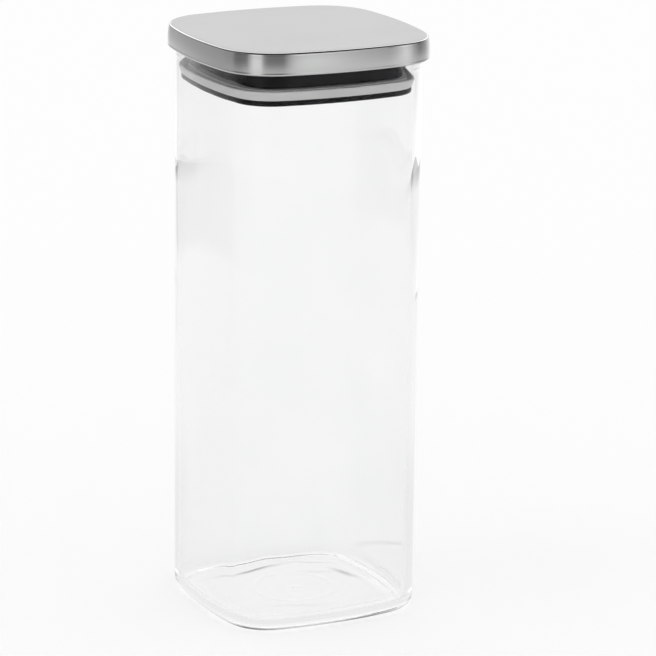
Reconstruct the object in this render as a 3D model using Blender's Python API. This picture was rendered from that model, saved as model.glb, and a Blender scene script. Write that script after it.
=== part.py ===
"""Square glass canister with a push-fit lid, in metres, +Z up, standing on z = 0.

Every outline is the same rounded square with bowed sides, drawn at some inset from the
outside of the glass: a positive inset lies inside that wall, a negative one outside it.
A piece is mostly a section of (inset, height) points carried round that outline.
"""

import math

import bmesh
import bpy
from mathutils import Matrix, Vector

# Plan of the jar, outside the glass
JAR_HALF_SIDE = 0.0500
JAR_CORNER_RADIUS = 0.0220
JAR_SIDE_RADIUS = 0.1860

# Glass
GLASS_HEIGHT = 0.2624
GLASS_WALL = 0.0030
GLASS_FLOOR = 0.0024
HEEL_RADIUS = 0.0045
INNER_HEEL_RADIUS = 0.0060
PUNT_RISE = 0.0006
PUNT_INSET = 0.0085
PUNT_WIDTH = 0.0075

# Clearances
SEAT_GAP = 0.0003
SCREW_GAP = 0.00015

# Steel cap
CAP_SHEET = 0.0006
CAP_OVERHANG = 0.0034
CAP_DRAFT = 0.00026
CAP_EDGE_RADIUS = 0.0013
CAP_HEM_RADIUS = 0.0009
CAP_HEM_WIDTH = 0.0019
PAD_THICKNESS = 0.0008
PAD_MARGIN = 0.0014

# Moulded core
FLANGE_THICKNESS = 0.0020
TRAY_WALL = 0.0016
TRAY_DEPTH = 0.0057
RIB_THICKNESS = 0.0015
RIB_SPACING = 0.0340
NECK_INSET = 0.0090
NECK_WALL = 0.0022
NECK_LENGTH = 0.0087
SPIGOT_STEP = 0.0030
SHOULDER_THICKNESS = 0.0020
BOSS_RADIUS = 0.0040
BOSS_SPACING = 0.0440

# Silicone seal
SEAL_HEIGHT = 0.0044
SEAL_TAPER = 0.0012
SEAL_LIP = 0.0013
SEAL_GROOVE_WIDTH = 0.0024
SEAL_GROOVE_DEPTH = 0.0026
SEAL_EDGE_RADIUS = 0.0004

# Retainer plate
PLATE_THICKNESS = 0.0023
PLATE_SETBACK = 0.0002
PLATE_EDGE_RADIUS = 0.0009
PILOT_RIM_WALL = 0.0015
PILOT_RIM_HEIGHT = 0.0030
CUP_WALL = 0.0014
CUP_HEIGHT = 0.0045
CUP_WEB = 0.0018

# Fasteners
SCREW_RADIUS = 0.00145
SCREW_LENGTH = 0.0095
SCREW_HEAD_RADIUS = 0.0028
SCREW_HEAD_HEIGHT = 0.0020
SCREW_CROWN_RADIUS = 0.0021
SCREW_POINT_RADIUS = 0.0004
SCREW_TIP = 0.0012
DRIVE_WIDTH = 0.0008
DRIVE_SPAN = 0.0030
DRIVE_DEPTH = 0.0011
PLUG_THICKNESS = 0.0022
PLUG_RADIUS = 0.0036
PLUG_CHAMFER = 0.0003

# Facets
CORNER_SEGMENTS = 8
SIDE_SEGMENTS = 4
ROUND_SEGMENTS = 24
BEND_SEGMENTS = 4

# Heights and insets that follow from the sizes above
FLANGE_BOTTOM = GLASS_HEIGHT + SEAT_GAP
FLANGE_TOP = FLANGE_BOTTOM + FLANGE_THICKNESS
TRAY_TOP = FLANGE_TOP + TRAY_DEPTH
PAD_BOTTOM = TRAY_TOP + SEAT_GAP
PAD_TOP = PAD_BOTTOM + PAD_THICKNESS
CAP_TOP = PAD_TOP + SEAT_GAP + CAP_SHEET
HEM_TOP = FLANGE_BOTTOM - SEAT_GAP
CAP_BOTTOM = HEM_TOP - CAP_SHEET
CAP_INSET = -CAP_OVERHANG
CAP_TOP_INSET = CAP_INSET + CAP_DRAFT
TRAY_INSET = CAP_TOP_INSET + CAP_SHEET + SEAT_GAP
SHOULDER_BOTTOM = FLANGE_BOTTOM - NECK_LENGTH
SPIGOT_INSET = NECK_INSET + SPIGOT_STEP
SEAL_TOP = SHOULDER_BOTTOM - SEAT_GAP
SEAL_BOTTOM = SEAL_TOP - SEAL_HEIGHT
SEAL_INSET = GLASS_WALL + SEAT_GAP
SEAL_BORE_INSET = SPIGOT_INSET - SEAT_GAP
PLATE_TOP = SEAL_BOTTOM - SEAT_GAP
PLATE_BOTTOM = PLATE_TOP - PLATE_THICKNESS
SPIGOT_BOTTOM = PLATE_TOP + SEAT_GAP
PLATE_INSET = SEAL_INSET + SEAL_TAPER + PLATE_SETBACK
CUP_TOP = PLATE_TOP + CUP_HEIGHT
WELL_TOP = CUP_TOP - CUP_WEB
WELL_RADIUS = PLUG_RADIUS + SEAT_GAP
SCREW_SEAT = WELL_TOP - SEAT_GAP
SCREW_HOLE_RADIUS = SCREW_RADIUS + SCREW_GAP
OVERLAP = 0.0005

MATERIALS = {
    "borosilicate glass": ((0.93, 0.95, 0.94), 0.02, 0.0),
    "brushed steel": ((0.62, 0.62, 0.61), 0.30, 1.0),
    "black moulding": ((0.012, 0.011, 0.012), 0.22, 0.0),
    "grey silicone": ((0.58, 0.58, 0.57), 0.50, 0.0),
    "adhesive foam": ((0.75, 0.74, 0.70), 0.85, 0.0),
    "zinc-plated screw": ((0.55, 0.56, 0.58), 0.35, 1.0),
    "black silicone": ((0.02, 0.02, 0.02), 0.60, 0.0),
}


def clear_scene():
    for obj in list(bpy.data.objects):
        bpy.data.objects.remove(obj, do_unlink=True)


def material(name):
    if name in bpy.data.materials:
        return bpy.data.materials[name]
    colour, roughness, metallic = MATERIALS[name]
    made = bpy.data.materials.new(name)
    made.use_nodes = True
    shader = made.node_tree.nodes["Principled BSDF"]
    shader.inputs["Base Color"].default_value = (*colour, 1.0)
    shader.inputs["Roughness"].default_value = roughness
    shader.inputs["Metallic"].default_value = metallic
    return made


def outline(inset):
    """The rounded square with bowed sides as points, anticlockwise from above.

    Each side is an arc about a point beyond the middle, and each corner an arc tangent
    to both neighbours, so an inset changes the radii and leaves the centres in place.
    """
    beyond = JAR_SIDE_RADIUS - JAR_HALF_SIDE
    reach = JAR_SIDE_RADIUS - JAR_CORNER_RADIUS
    centre = (math.sqrt(2 * reach**2 - beyond**2) - beyond) / 2
    half_angle = math.atan2(centre, centre + beyond)
    side_radius = JAR_SIDE_RADIUS - inset
    corner_radius = JAR_CORNER_RADIUS - inset
    points = []
    for quarter in range(4):
        turn = Matrix.Rotation(quarter * math.pi / 2, 2)
        for step in range(SIDE_SEGMENTS):
            angle = half_angle * (2 * step / SIDE_SEGMENTS - 1)
            offset = Vector((math.cos(angle), math.sin(angle))) * side_radius
            points.append(turn @ (Vector((-beyond, 0)) + offset))
        for step in range(CORNER_SEGMENTS):
            sweep = (math.pi / 2 - 2 * half_angle) * step / CORNER_SEGMENTS
            angle = half_angle + sweep
            offset = Vector((math.cos(angle), math.sin(angle))) * corner_radius
            points.append(turn @ (Vector((centre, centre)) + offset))
    return points


def arc(centre_inset, centre_height, radius, start, end, segments=BEND_SEGMENTS):
    """Section points on an arc. Angle 0 points outwards and 90 degrees points up."""
    points = []
    for step in range(segments + 1):
        angle = math.radians(start + (end - start) * step / segments)
        inset = centre_inset - radius * math.cos(angle)
        points.append((inset, centre_height + radius * math.sin(angle)))
    return points


def add_object(name, mesh_builder, material_name):
    """Adds an object from a bmesh, with its faces pointing out and its bends smooth."""
    bmesh.ops.recalc_face_normals(mesh_builder, faces=mesh_builder.faces)
    mesh = bpy.data.meshes.new(name)
    mesh_builder.to_mesh(mesh)
    mesh_builder.free()
    mesh.shade_smooth()
    mesh.set_sharp_from_angle(angle=math.radians(30))
    mesh.materials.append(material(material_name))
    obj = bpy.data.objects.new(name, mesh)
    bpy.context.scene.collection.objects.link(obj)
    return obj


def skin(rings, closed):
    """A bmesh of quads between neighbouring rings of points.

    A closed skin joins its last ring to its first. An open one has both end rings
    filled with a flat face.
    """
    builder = bmesh.new()
    loops = [[builder.verts.new(point) for point in ring] for ring in rings]
    if not closed:
        builder.faces.new(loops[0])
        builder.faces.new(loops[-1])
    following = loops[1:] + loops[:1] if closed else loops[1:]
    for lower, upper in zip(loops, following):
        for i in range(len(lower)):
            builder.faces.new((lower[i - 1], lower[i], upper[i], upper[i - 1]))
    return builder


def carry(section, closed):
    """A bmesh of the section carried round the outline, as a plate or as a ring."""
    rings = [[(*point, height) for point in outline(inset)] for inset, height in section]
    return skin(rings, closed)


def turned(section, at=(0.0, 0.0)):
    """A bmesh of (radius, height) points turned about an upright axis."""
    turns = [2 * math.pi * step / ROUND_SEGMENTS for step in range(ROUND_SEGMENTS)]
    rings = []
    for radius, height in section:
        ring = [(radius * math.cos(turn), radius * math.sin(turn)) for turn in turns]
        rings.append([(x + at[0], y + at[1], height) for x, y in ring])
    return skin(rings, closed=False)


def cylinder(radius, bottom, top, at):
    return turned([(radius, bottom), (radius, top)], at)


def box(size, centre):
    builder = bmesh.new()
    bmesh.ops.create_cube(builder, size=1)
    bmesh.ops.scale(builder, verts=builder.verts, vec=size)
    bmesh.ops.translate(builder, verts=builder.verts, vec=centre)
    return builder


def combine(target, builders, operation):
    """Joins or cuts the target with each helper shape, which stays hidden."""
    for index, builder in enumerate(builders):
        name = f"{target.name}_{operation.lower()}_{index}"
        helper = add_object(name, builder, target.data.materials[0].name)
        helper.hide_render = True
        helper.display_type = "WIRE"
        modifier = target.modifiers.new(name, "BOOLEAN")
        modifier.operation = operation
        modifier.solver = "EXACT"
        modifier.object = helper


def boss_places():
    """The four boss axes, one in each quarter, as (x, y)."""
    half = BOSS_SPACING / 2
    return [(half, half), (-half, half), (-half, -half), (half, -half)]


def glass_jar():
    """A blown jar: round rim, rounded heel and a floor raised a little in the middle."""
    heel = arc(HEEL_RADIUS, HEEL_RADIUS, HEEL_RADIUS, -90, 0)
    rim_radius = GLASS_WALL / 2
    rim = arc(rim_radius, GLASS_HEIGHT - rim_radius, rim_radius, 0, 180, 8)
    floor_inset = GLASS_WALL + INNER_HEEL_RADIUS
    floor_corner = GLASS_FLOOR + INNER_HEEL_RADIUS
    inner_heel = arc(floor_inset, floor_corner, INNER_HEEL_RADIUS, 0, -90)
    punt_end = PUNT_INSET + PUNT_WIDTH
    under = [(punt_end, PUNT_RISE), (PUNT_INSET, 0)]
    floor = [(punt_end, GLASS_FLOOR + PUNT_RISE)]
    section = under + heel + rim + inner_heel + floor
    add_object("glass_jar", carry(section, closed=False), "borosilicate glass")


def lid_cap():
    """Drawn sheet: flat top, rounded edge, slight draft and a hem turned in below."""
    edge_inset = CAP_TOP_INSET + CAP_EDGE_RADIUS
    edge_height = CAP_TOP - CAP_EDGE_RADIUS
    hem_inset = CAP_INSET + CAP_HEM_RADIUS
    hem_height = CAP_BOTTOM + CAP_HEM_RADIUS
    hem_end = CAP_INSET + CAP_HEM_WIDTH
    inner_edge = CAP_EDGE_RADIUS - CAP_SHEET
    inner_hem = CAP_HEM_RADIUS - CAP_SHEET
    outside = arc(edge_inset, edge_height, CAP_EDGE_RADIUS, 90, 0)
    outside += arc(hem_inset, hem_height, CAP_HEM_RADIUS, 0, -90)
    lip = [(hem_end, CAP_BOTTOM), (hem_end, HEM_TOP)]
    inside = arc(hem_inset, hem_height, inner_hem, -90, 0)
    inside += arc(edge_inset, edge_height, inner_edge, 0, 90)
    add_object("lid_cap", carry(outside + lip + inside, closed=False), "brushed steel")


def adhesive_pad():
    """Foam sheet that bonds the cap to the top of the core."""
    inset = TRAY_INSET + PAD_MARGIN
    section = [(inset, PAD_TOP), (inset, PAD_BOTTOM)]
    add_object("adhesive_pad", carry(section, closed=False), "adhesive foam")


def core_ribs():
    """Crossed ribs in the tray, their ends buried in its wall."""
    length = 2 * (JAR_HALF_SIDE - TRAY_INSET - TRAY_WALL)
    height = TRAY_DEPTH + OVERLAP
    middle = TRAY_TOP - height / 2
    ribs = []
    for side in (-1, 1):
        offset = side * RIB_SPACING / 2
        ribs.append(box((length, RIB_THICKNESS, height), (0, offset, middle)))
        ribs.append(box((RIB_THICKNESS, length, height), (offset, 0, middle)))
    return ribs


def lid_core():
    """Moulding: a ribbed tray in the cap, a flange on the rim and a hollow neck."""
    neck_inner = NECK_INSET + NECK_WALL
    spigot_inner = SPIGOT_INSET + NECK_WALL
    shoulder_top = SHOULDER_BOTTOM + SHOULDER_THICKNESS
    section = [
        (TRAY_INSET + TRAY_WALL, FLANGE_TOP),
        (TRAY_INSET + TRAY_WALL, TRAY_TOP),
        (TRAY_INSET, TRAY_TOP),
        (TRAY_INSET, FLANGE_BOTTOM),
        (NECK_INSET, FLANGE_BOTTOM),
        (NECK_INSET, SHOULDER_BOTTOM),
        (SPIGOT_INSET, SHOULDER_BOTTOM),
        (SPIGOT_INSET, SPIGOT_BOTTOM),
        (spigot_inner, SPIGOT_BOTTOM),
        (spigot_inner, shoulder_top),
        (neck_inner, shoulder_top),
        (neck_inner, FLANGE_BOTTOM),
    ]
    core = add_object("lid_core", carry(section, closed=False), "black moulding")
    boss_bottom = CUP_TOP + SEAT_GAP
    boss_top = FLANGE_BOTTOM + OVERLAP
    hole_top = SCREW_SEAT + SCREW_LENGTH + SEAT_GAP
    bosses = [cylinder(BOSS_RADIUS, boss_bottom, boss_top, at) for at in boss_places()]
    holes = [
        cylinder(SCREW_HOLE_RADIUS, boss_bottom - OVERLAP, hole_top, at)
        for at in boss_places()
    ]
    combine(core, core_ribs() + bosses, "UNION")
    combine(core, holes, "DIFFERENCE")


def seal_ring():
    """Silicone ring whose lip leans out to the glass, with a groove behind the lip."""
    lower_inset = SEAL_INSET + SEAL_TAPER
    groove_outer = SEAL_INSET + SEAL_LIP
    groove_inner = groove_outer + SEAL_GROOVE_WIDTH
    groove_bottom = SEAL_TOP - SEAL_GROOVE_DEPTH
    edge = SEAL_EDGE_RADIUS
    lean = math.degrees(math.atan2(SEAL_TAPER, SEAL_HEIGHT))
    section = arc(SEAL_INSET + edge, SEAL_TOP - edge, edge, 90, -lean, 3)
    section += arc(lower_inset + edge, SEAL_BOTTOM + edge, edge, -lean, -90, 3)
    section += [
        (SEAL_BORE_INSET, SEAL_BOTTOM),
        (SEAL_BORE_INSET, SEAL_TOP),
        (groove_inner, SEAL_TOP),
        (groove_inner - edge, groove_bottom),
        (groove_outer + SEAL_TAPER / 2, groove_bottom),
        (groove_outer, SEAL_TOP),
    ]
    add_object("seal_ring", carry(section, closed=True), "grey silicone")


def retainer_plate():
    """Plate that clamps the seal, centred in the spigot, with four screw wells."""
    edge = PLATE_EDGE_RADIUS
    rim_inset = SPIGOT_INSET + NECK_WALL + SEAT_GAP
    rim_inner = rim_inset + PILOT_RIM_WALL
    rim_top = PLATE_TOP + PILOT_RIM_HEIGHT
    section = [
        (rim_inner, PLATE_TOP),
        (rim_inner, rim_top),
        (rim_inset, rim_top),
        (rim_inset, PLATE_TOP),
        (PLATE_INSET, PLATE_TOP),
    ]
    section += arc(PLATE_INSET + edge, PLATE_BOTTOM + edge, edge, 0, -90)
    plate = add_object("retainer_plate", carry(section, closed=False), "black moulding")
    cup_bottom = PLATE_TOP - OVERLAP
    well_bottom = PLATE_BOTTOM - OVERLAP
    cup_radius = WELL_RADIUS + CUP_WALL
    cups = [cylinder(cup_radius, cup_bottom, CUP_TOP, at) for at in boss_places()]
    wells = [
        turned(
            [
                (WELL_RADIUS, well_bottom),
                (WELL_RADIUS, WELL_TOP),
                (SCREW_HOLE_RADIUS, WELL_TOP),
                (SCREW_HOLE_RADIUS, CUP_TOP + OVERLAP),
            ],
            at,
        )
        for at in boss_places()
    ]
    combine(plate, cups, "UNION")
    combine(plate, wells, "DIFFERENCE")


def retainer_screw(name, at):
    """Pan-head screw, head down in its well, with a cross recess in the head."""
    head_bottom = SCREW_SEAT - SCREW_HEAD_HEIGHT
    tip = SCREW_SEAT + SCREW_LENGTH
    section = [
        (SCREW_CROWN_RADIUS, head_bottom),
        (SCREW_HEAD_RADIUS, head_bottom + SCREW_HEAD_HEIGHT / 2),
        (SCREW_HEAD_RADIUS, SCREW_SEAT),
        (SCREW_RADIUS, SCREW_SEAT),
        (SCREW_RADIUS, tip - SCREW_TIP),
        (SCREW_POINT_RADIUS, tip),
    ]
    screw = add_object(name, turned(section, at), "zinc-plated screw")
    depth = 2 * DRIVE_DEPTH
    centre = (*at, head_bottom)
    slots = [
        box((DRIVE_SPAN, DRIVE_WIDTH, depth), centre),
        box((DRIVE_WIDTH, DRIVE_SPAN, depth), centre),
    ]
    combine(screw, slots, "DIFFERENCE")


def screw_plug(name, at):
    """Soft plug that closes a screw well flush with the underside."""
    top = PLATE_BOTTOM + PLUG_THICKNESS
    section = [
        (PLUG_RADIUS - PLUG_CHAMFER, PLATE_BOTTOM),
        (PLUG_RADIUS, PLATE_BOTTOM + PLUG_CHAMFER),
        (PLUG_RADIUS, top),
    ]
    add_object(name, turned(section, at), "black silicone")


def main():
    clear_scene()
    glass_jar()
    lid_cap()
    adhesive_pad()
    lid_core()
    seal_ring()
    retainer_plate()
    for number, place in enumerate(boss_places(), start=1):
        retainer_screw(f"retainer_screw_{number}", place)
        screw_plug(f"screw_plug_{number}", place)


main()
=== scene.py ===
"""Looks of a square glass canister: drawn steel lid, black moulded neck, silicone seal.

Every piece that goes round the jar is a section of (inset, height) points carried along
one outline, a rounded square with bowed sides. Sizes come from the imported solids.
"""
import math

import bmesh
import bpy
import numpy as np
from mathutils import Matrix, Vector


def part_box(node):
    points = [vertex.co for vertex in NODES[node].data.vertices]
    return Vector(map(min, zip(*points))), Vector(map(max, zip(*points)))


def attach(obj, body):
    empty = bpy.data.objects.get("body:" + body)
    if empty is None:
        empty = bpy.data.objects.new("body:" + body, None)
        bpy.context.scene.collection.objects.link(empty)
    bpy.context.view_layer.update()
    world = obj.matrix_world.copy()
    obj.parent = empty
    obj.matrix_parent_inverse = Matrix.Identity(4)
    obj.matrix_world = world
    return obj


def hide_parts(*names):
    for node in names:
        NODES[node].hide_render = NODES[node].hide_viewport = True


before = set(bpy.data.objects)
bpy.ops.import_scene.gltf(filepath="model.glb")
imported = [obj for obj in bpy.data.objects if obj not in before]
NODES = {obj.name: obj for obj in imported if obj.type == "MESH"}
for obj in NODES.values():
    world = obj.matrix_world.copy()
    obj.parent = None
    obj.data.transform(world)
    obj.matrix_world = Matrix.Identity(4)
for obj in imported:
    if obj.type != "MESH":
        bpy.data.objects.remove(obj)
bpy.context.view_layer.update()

# Outline of the jar: half side, corner radius and bowed side radius, outside the glass
HALF_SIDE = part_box("glass_jar")[1].x
CORNER_RADIUS = 0.0220
SIDE_RADIUS = 0.1860
BLEND = 0.010
SIDE_SHARE = 0.5
TRACK_STEPS = 2001
AROUND = 384

# Heights and insets read from the solids
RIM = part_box("glass_jar")[1].z
CAP_LOW, CAP_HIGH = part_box("lid_cap")
CORE_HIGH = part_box("lid_core")[1]
SEAL_LOW, SEAL_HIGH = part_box("seal_ring")
PLUG_LOW, PLUG_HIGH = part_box("screw_plug_1")
CAP_INSET = HALF_SIDE - CAP_HIGH.x
TRAY_INSET = HALF_SIDE - CORE_HIGH.x
SEAL_INSET = HALF_SIDE - SEAL_HIGH.x

# Glass, in metres: walls, radii, and the ripples of its surface by the metre
WALL = 0.0030
FLOOR = 0.0024
WAVES_AROUND = 45.0
WAVES_UP = 22.0
WAVE_DEPTH = 0.00028
HEEL_RADIUS = 0.0045
INNER_HEEL_RADIUS = 0.0060
FOOT_WIDTH = 0.0006
# The wall's thickness drifts by sines, each with its share, waves round, waves up, start
DRIFT_DEPTH = 0.00016
DRIFT_WAVES = [(0.50, 7, 31, 0.0), (0.35, 12, -47, 1.3), (0.25, 3, 18, 2.1)]
DRIFT_TOP_GAP = 0.006
DRIFT_TOP_FADE = 0.03
DRIFT_LOW_GAP = 0.015
DRIFT_LOW_FADE = 0.05
# Painted shade round the foot, a dark line: its height, its tone, and its lobes by bearing in
# degrees
FOOT_LINE = 0.0021
FOOT_LINE_FADE = 0.0004
FOOT_LINE_SHADE = 0.74
FOOT_LOBE_SHADE = 0.26
FOOT_LOBE_SPACING = 66
FOOT_LOBE_BEARING = -138
OUTWARD_GAIN = 8
UPWARD = 0.5
# Painted shade as dark streaks in the floor, each a short straight band facing a bearing in
# degrees:
# distance from the middle, place along the band, half length, half width, strength
PAINTED_STREAKS = [
    (98, 0.0299, 0.0040, 0.0150, 0.0013, 0.93),
    (61, 0.0354, -0.0045, 0.0095, 0.0005, 0.60),
    (18, 0.0318, -0.0020, 0.0075, 0.0016, 0.68),
    (67, 0.0208, -0.0125, 0.0090, 0.0015, 0.20),
    (-112, 0.0262, 0.0000, 0.0130, 0.0018, 0.13),
]
PUNT_INSET = 0.0085
PUNT_WIDTH = 0.0075
PUNT_RISE = 0.0006
SLOPE_ROWS = 15
MARK_HEIGHT = 0.0002
MARK_WIDTH = 0.0022
RING_HEIGHT = 0.00008
RING_RADIUS = 0.019
RING_WIDTH = 0.0015

# Lid, in metres: sheet of the cap, then the moulding, then the silicone
SHEET = 0.0006
CAP_DRAFT = 0.00045
CAP_EDGE_RADIUS = 0.0013
CROWN_PLACE = 0.35
HEM_RADIUS = 0.0009
HEM_WIDTH = 0.0019
BUFFED_MARGIN = 0.0002
BUFFED_FADE = 0.0003
FLAT_MARGIN = 0.00004
TOP_FACING = 0.9
GRAIN_TUCK = 0.2
NECK_INSET = 0.0090
NECK_WALL = 0.0022
SPIGOT_INSET = 0.0120
SHOULDER = 0.0020
FLANGE = 0.0020
TRAY_WALL = 0.0016
CORE_EDGE = 0.0004
SEAT_GAP = 0.0003
SEAL_TAPER = 0.0012
SEAL_LIP = 0.0013
SEAL_GROOVE_WIDTH = 0.0024
SEAL_GROOVE_DEPTH = 0.0026
SEAL_EDGE = 0.0005
PLATE_TOP = SEAL_LOW.z - SEAT_GAP
PLUG_EDGE = 0.0004
PLUG_AROUND = 64
PLUG_DIMPLE = 0.00014
# Rise of the plug's hollow end at shares of its radius
PLUG_DISH = [(0.3, 0.00012), (0.6, 0.00008)]
# Bends sharper than these, in degrees, stay sharp
MOULDING_SHARP = 40
SEAL_SHARP = 50
PLATE_SHARP = 35
DOUBLES = 1e-6


# ---------------------------------------------------------------- surfaces


def smooth_step(value):
    value = np.clip(value, 0, 1)
    return value * value * (3 - 2 * value)


def quarter_track():
    """A quarter of the outline from mid side to mid side: turn, direction, x and y.

    The curvature is that of the side, and that of the corner between two soft steps. Its
    running sum is the direction, and the running sum of the direction is the place.
    """
    beyond = SIDE_RADIUS - HALF_SIDE
    reach = SIDE_RADIUS - CORNER_RADIUS
    centre = (math.sqrt(2 * reach**2 - beyond**2) - beyond) / 2
    half_angle = math.atan2(centre, centre + beyond)
    side = half_angle * SIDE_RADIUS
    corner = (math.pi / 2 - 2 * half_angle) * CORNER_RADIUS
    length = np.linspace(0, 2 * side + corner, TRACK_STEPS)
    step = length[1]
    into = smooth_step((length - side) / BLEND + 0.5)
    bend = into - smooth_step((length - side - corner) / BLEND + 0.5)
    curvature = 1 / SIDE_RADIUS + (1 / CORNER_RADIUS - 1 / SIDE_RADIUS) * bend
    density = SIDE_SHARE / (2 * side) + ((1 - SIDE_SHARE) / corner) * bend
    direction = running_sum(curvature) * step
    direction *= math.pi / 2 / direction[-1]
    x = -running_sum(np.sin(direction)) * step
    y = running_sum(np.cos(direction)) * step
    turn = running_sum(density)
    scale = HALF_SIDE / y[-1]
    return turn / turn[-1], direction, scale * (x - x[-1]), scale * y


def running_sum(values):
    """The sum of the values up to each one, by the trapezium rule, starting at 0."""
    return np.concatenate([[0], np.cumsum((values[1:] + values[:-1]) / 2)])


TRACK = quarter_track()


def outline(inset, turn):
    """Points on the outline: x and y for a turn of 0 to 4 quarters, at an inset.

    The track is read at the turn, moved inwards along its normal by the inset, and turned
    by the quarters before it.
    """
    quarter = np.floor(turn)
    direction, x, y = (np.interp(turn - quarter, TRACK[0], values) for values in TRACK[1:])
    x = x - inset * np.cos(direction)
    y = y - inset * np.sin(direction)
    turned = quarter * math.pi / 2
    return x * np.cos(turned) - y * np.sin(turned), x * np.sin(turned) + y * np.cos(turned)


def turns():
    return 4 * np.arange(AROUND) / AROUND


def arc(inset, height, radius, start, end, steps):
    """Section points on an arc. Angle 0 points outwards and 90 degrees points up."""
    angle = np.radians(np.linspace(start, end, steps + 1))
    return np.stack([inset - radius * np.cos(angle), height + radius * np.sin(angle)], 1)


def straight(start, end, steps):
    """Section points on a straight line, without its ends."""
    share = np.linspace(0, 1, steps + 2)[1:-1, None]
    return (1 - share) * np.array(start) + share * np.array(end)


def section(*parts):
    return np.concatenate([np.atleast_2d(part) for part in parts])


def carried(points, inset_change=0.0):
    """A grid of points: row i is the outline at section point i."""
    turn = turns()[None, :]
    inset = points[:, :1] + inset_change + 0 * turn
    x, y = outline(inset, turn)
    z = points[:, 1:] + 0 * turn
    return np.stack([x, y, z], 2)


def filled(inset, height, rows):
    """A grid that closes an outline: each row is the one before, drawn in to the middle.

    The rows change from the outline into circles on the way in, and height may be a
    function of the distance from the middle.
    """
    turn = turns()
    x, y = outline(inset, turn)
    edge = np.hypot(x, y)
    angle = np.arctan2(y, x)
    share = np.linspace(1, 0, rows + 2)[1:-1, None]
    radius = share * (edge * share**2 + edge.min() * (1 - share**2))
    z = height(radius) if callable(height) else height + 0 * radius
    return np.stack([radius * np.cos(angle), radius * np.sin(angle), z], 2)


def spun(points, at, around):
    """A grid of points: row i is a circle of section point i's radius and height."""
    angle = 2 * math.pi * np.arange(around)[None, :] / around
    x = points[:, :1] * np.cos(angle) + at[0]
    y = points[:, :1] * np.sin(angle) + at[1]
    return np.stack([x, y, points[:, 1:] + 0 * angle], 2)


def skin(name, rows, first_pole=None, last_pole=None):
    """A closed mesh over a grid of points whose rows close on themselves.

    Without poles the last row joins the first. A pole is a point that closes an end row
    by a fan of triangles. The faces are turned outwards if the volume comes out negative.
    """
    count, around = rows.shape[:2]
    verts = rows.reshape(-1, 3)
    poles = [np.array(pole) for pole in (first_pole, last_pole) if pole is not None]
    ring = first_pole is None
    column = np.arange(around)
    beside = (column + 1) % around
    lower = np.arange(count if ring else count - 1)[:, None] * around
    upper = (lower + around) % (count * around) if ring else lower + around
    quads = np.stack([lower + column, lower + beside, upper + beside, upper + column], 2)
    faces = quads.reshape(-1, 4).tolist()
    if not ring:
        top, end = count * around, (count - 1) * around
        faces += np.stack([beside, column, np.full(around, top)], 1).tolist()
        fan = np.stack([end + column, end + beside, np.full(around, top + 1)], 1)
        faces += fan.tolist()
        verts = np.concatenate([verts, np.stack(poles)])
    a, b, c, d = (verts[quads.reshape(-1, 4)[:, i]] for i in range(4))
    volume = np.einsum("ij,ij->i", a, np.cross(b, c) + np.cross(c, d)).sum()
    if volume < 0:
        faces = [face[::-1] for face in faces]
    mesh = bpy.data.meshes.new(name)
    mesh.from_pydata(verts.tolist(), [], faces)
    mesh.validate()
    mesh.shade_smooth()
    return mesh


def stand(name, data):
    """A new object in the scene, with a mesh, a lamp or a camera as its data."""
    thing = bpy.data.objects.new(name, data)
    bpy.context.scene.collection.objects.link(thing)
    return thing


def put(name, mesh, body, nodes, finish):
    """Puts a mesh in the scene: it rides on a body and stands for CAD nodes."""
    piece = stand(name, mesh)
    mesh.materials.append(finish)
    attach(piece, body)
    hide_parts(*nodes)


# ---------------------------------------------------------------- shader groups


def new_group(name, inputs, outputs):
    """An empty node group with float, colour and vector sockets, and its two end nodes."""
    group = bpy.data.node_groups.new(name, "ShaderNodeTree")
    kinds = {"f": "NodeSocketFloat", "c": "NodeSocketColor", "v": "NodeSocketVector"}
    for socket_name, kind, default in inputs:
        socket = group.interface.new_socket(
            name=socket_name, in_out="INPUT", socket_type=kinds[kind]
        )
        if default is not None:
            socket.default_value = default
    for socket_name, kind in outputs:
        group.interface.new_socket(
            name=socket_name, in_out="OUTPUT", socket_type=kinds[kind]
        )
    return group, group.nodes.new("NodeGroupInput"), group.nodes.new("NodeGroupOutput")


def add(tree, kind, links=(), **settings):
    """Adds a node. Settings name attributes, and links give (input, source or value)."""
    node = tree.nodes.new(kind)
    for key, value in settings.items():
        setattr(node, key, value)
    for key, value in links:
        if isinstance(value, bpy.types.NodeSocket):
            tree.links.new(value, node.inputs[key])
        else:
            node.inputs[key].default_value = value
    return node


def brushed_grain():
    """Fine scratches: a noise that is fine along U and drawn out along V."""
    group, start, end = new_group(
        "brushed grain",
        [("Vector", "v", None), ("Fineness", "f", 9000.0), ("Length", "f", 60.0)],
        [("Grain", "f")],
    )
    stretch = add(group, "ShaderNodeCombineXYZ", [
        ("X", start.outputs["Fineness"]),
        ("Y", start.outputs["Length"]),
        ("Z", 1.0),
    ])
    place = add(group, "ShaderNodeVectorMath", [
        (0, start.outputs["Vector"]),
        (1, stretch.outputs[0]),
    ], operation="MULTIPLY")
    fine = add(group, "ShaderNodeTexNoise", [
        ("Vector", place.outputs[0]), ("Scale", 1.0), ("Detail", 3.0), ("Roughness", 0.7),
    ])
    group.links.new(fine.outputs["Fac"], end.inputs["Grain"])
    return group


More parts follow.
